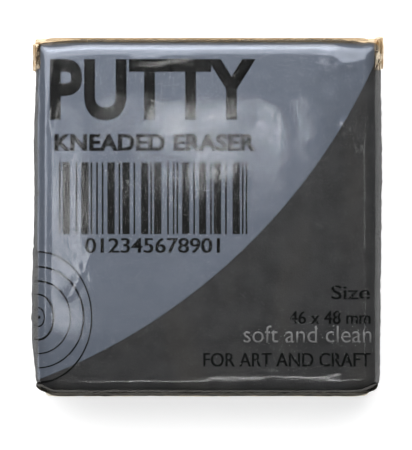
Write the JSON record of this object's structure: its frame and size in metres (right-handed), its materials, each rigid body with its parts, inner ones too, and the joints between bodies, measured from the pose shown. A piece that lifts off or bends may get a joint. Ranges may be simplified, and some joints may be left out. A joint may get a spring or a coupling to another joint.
{
  "type": "kneaded eraser in film wrapper",
  "caption": "Soft square putty eraser block sealed in a clear printed film wrapper, with envelope-folded ends that open.",
  "frame": {"origin": "middle of the wrapper's back face, which the object rests on", "axes": "+X to the label's right, +Y to the label's top, +Z out of the label's face"},
  "size_m": [0.0466, 0.048, 0.012],
  "materials": {
    "putty": "matte",
    "printed_film": "gloss",
    "clear_film": "gloss"
  },
  "bodies": {
    "wrapped_block": {"film_sleeve": "printed_film", "eraser_block": "putty"},
    "top_outer": {"top_outer_flap": "clear_film"},
    "top_under": {"top_under_flap": "clear_film"},
    "top_left": {"top_left_tuck": "clear_film"},
    "top_right": {"top_right_tuck": "clear_film"},
    "bottom_outer": {"bottom_outer_flap": "clear_film"},
    "bottom_under": {"bottom_under_flap": "clear_film"},
    "bottom_left": {"bottom_left_tuck": "clear_film"},
    "bottom_right": {"bottom_right_tuck": "clear_film"}
  },
  "joints": [
    {"name": "top_outer_crease", "type": "hinge", "parent": "wrapped_block", "child": "top_outer", "pos_m": [0, 0.024, 0.01165], "axis": [1, 0, 0], "range_deg": [0, 150]},
    {"name": "top_under_crease", "type": "hinge", "parent": "wrapped_block", "child": "top_under", "pos_m": [0, 0.0237, 0.0007], "axis": [-1, 0, 0], "range_deg": [0, 75]},
    {"name": "top_left_crease", "type": "hinge", "parent": "wrapped_block", "child": "top_left", "pos_m": [-0.0223, 0.0234, 0.00617], "axis": [0, 0, 1], "range_deg": [0, 67.5]},
    {"name": "top_right_crease", "type": "hinge", "parent": "wrapped_block", "child": "top_right", "pos_m": [0.0223, 0.0234, 0.00617], "axis": [0, 0, -1], "range_deg": [0, 67.5]},
    {"name": "bottom_outer_crease", "type": "hinge", "parent": "wrapped_block", "child": "bottom_outer", "pos_m": [0, -0.024, 0.01165], "axis": [-1, 0, 0], "range_deg": [0, 150]},
    {"name": "bottom_under_crease", "type": "hinge", "parent": "wrapped_block", "child": "bottom_under", "pos_m": [0, -0.0237, 0.0007], "axis": [1, 0, 0], "range_deg": [0, 75]},
    {"name": "bottom_left_crease", "type": "hinge", "parent": "wrapped_block", "child": "bottom_left", "pos_m": [-0.0223, -0.0234, 0.00617], "axis": [0, 0, -1], "range_deg": [0, 67.5]},
    {"name": "bottom_right_crease", "type": "hinge", "parent": "wrapped_block", "child": "bottom_right", "pos_m": [0.0223, -0.0234, 0.00617], "axis": [0, 0, 1], "range_deg": [0, 67.5]}
  ],
  "couplings": [
    {"joint": "top_under_crease", "follows": "top_outer_crease", "ratio": 0.5},
    {"joint": "top_left_crease", "follows": "top_outer_crease", "ratio": 0.45},
    {"joint": "top_right_crease", "follows": "top_outer_crease", "ratio": 0.45},
    {"joint": "bottom_under_crease", "follows": "bottom_outer_crease", "ratio": 0.5},
    {"joint": "bottom_left_crease", "follows": "bottom_outer_crease", "ratio": 0.45},
    {"joint": "bottom_right_crease", "follows": "bottom_outer_crease", "ratio": 0.45}
  ]
}
